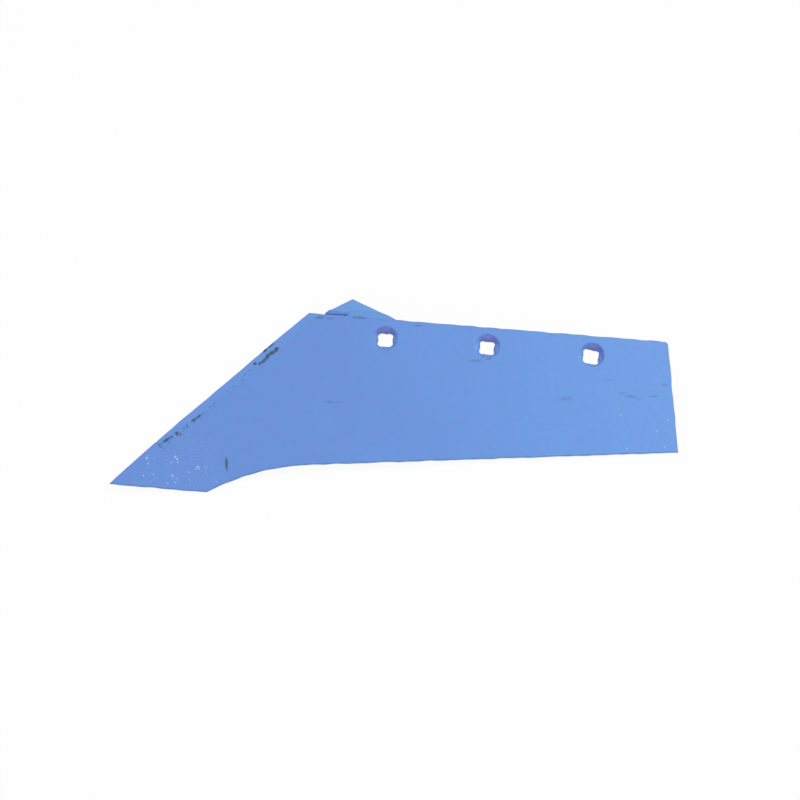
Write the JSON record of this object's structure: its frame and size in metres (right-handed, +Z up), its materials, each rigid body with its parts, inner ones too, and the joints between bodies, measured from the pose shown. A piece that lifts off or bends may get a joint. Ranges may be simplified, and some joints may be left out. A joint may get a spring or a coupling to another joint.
{
  "type": "plough share",
  "caption": "Left-hand plough share: flat blade with a beak-shaped nose, bevelled underside, countersunk square bolt holes, welded landside plate and rear lug.",
  "frame": {"origin": "middle of the share's footprint, on the ground it stands on", "axes": "+X from the nose's lower corner to the heel's lower corner, +Y to the rear, +Z up; the wearing face is pitched back 25 degrees about X"},
  "size_m": [0.4754, 0.1582, 0.0642],
  "materials": {
    "blade_paint": "satin blue paint on hardened steel plate, thin, with bare specks and chips",
    "plate_paint": "satin blue paint on steel plate",
    "lug_paint": "satin blue paint on steel plate",
    "weld_paint": "satin blue paint over weld metal, missed in pits and at the toes"
  },
  "bodies": {
    "root": {"share_blade": "blade_paint", "landside_plate": "plate_paint", "frog_lug": "lug_paint", "seam_weld": "weld_paint", "inner_fillet_weld": "weld_paint", "lug_top_weld": "weld_paint", "lug_root_weld": "weld_paint", "lug_under_weld": "weld_paint"}
  },
  "joints": []
}
